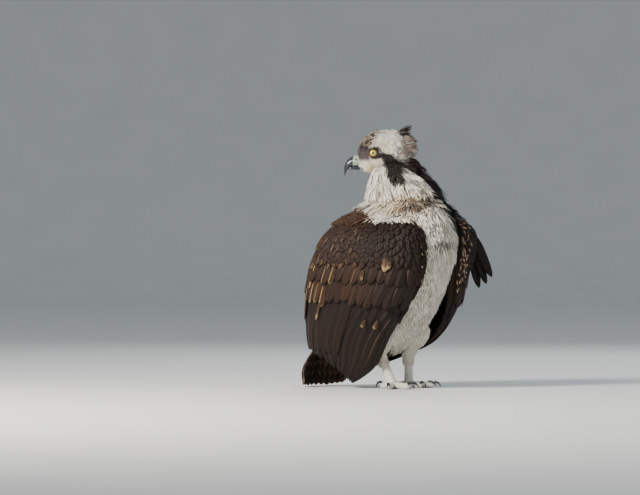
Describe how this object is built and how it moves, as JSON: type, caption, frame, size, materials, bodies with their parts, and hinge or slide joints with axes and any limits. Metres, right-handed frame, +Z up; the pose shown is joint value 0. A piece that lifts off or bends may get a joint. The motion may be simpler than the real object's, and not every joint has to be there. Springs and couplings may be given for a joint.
{
  "type": "osprey",
  "caption": "Life-size still model of an osprey that stands upright with loosely folded wings and looks back over its right shoulder",
  "frame": {"origin": "middle of the footprint's bounding box on the floor", "axes": "X is the bird's left, -Y is the way its body faces, +Z is up"},
  "size_m": [0.3138, 0.328, 0.5215],
  "materials": {
    "body_plumage": "soft matt feathers, white to cream with brown streaks",
    "wing_plumage": "smooth dark brown feathers with pale tips",
    "tail_plumage": "brown feathers with pale bars",
    "bill": "smooth dark horn",
    "eye": "wet and clear over a yellow iris",
    "leg_skin": "scaled pale blue-grey skin",
    "claw": "smooth black horn"
  },
  "bodies": {
    "root": {"bill_lower": "bill", "bill_upper": "bill", "claw_hind_left": "claw", "claw_hind_right": "claw", "claw_inner_left": "claw", "claw_inner_right": "claw", "claw_middle_left": "claw", "claw_middle_right": "claw", "claw_outer_left": "claw", "claw_outer_right": "claw", "eye_left": "eye", "eye_right": "eye", "head": "body_plumage", "neck": "body_plumage", "tail": "tail_plumage", "tarsus_left": "leg_skin", "tarsus_right": "leg_skin", "thigh_left": "body_plumage", "thigh_right": "body_plumage", "toe_hind_left": "leg_skin", "toe_hind_right": "leg_skin", "toe_inner_left": "leg_skin", "toe_inner_right": "leg_skin", "toe_middle_left": "leg_skin", "toe_middle_right": "leg_skin", "toe_outer_left": "leg_skin", "toe_outer_right": "leg_skin", "torso": "body_plumage", "wing_left": "wing_plumage", "wing_right": "wing_plumage"}
  },
  "joints": []
}
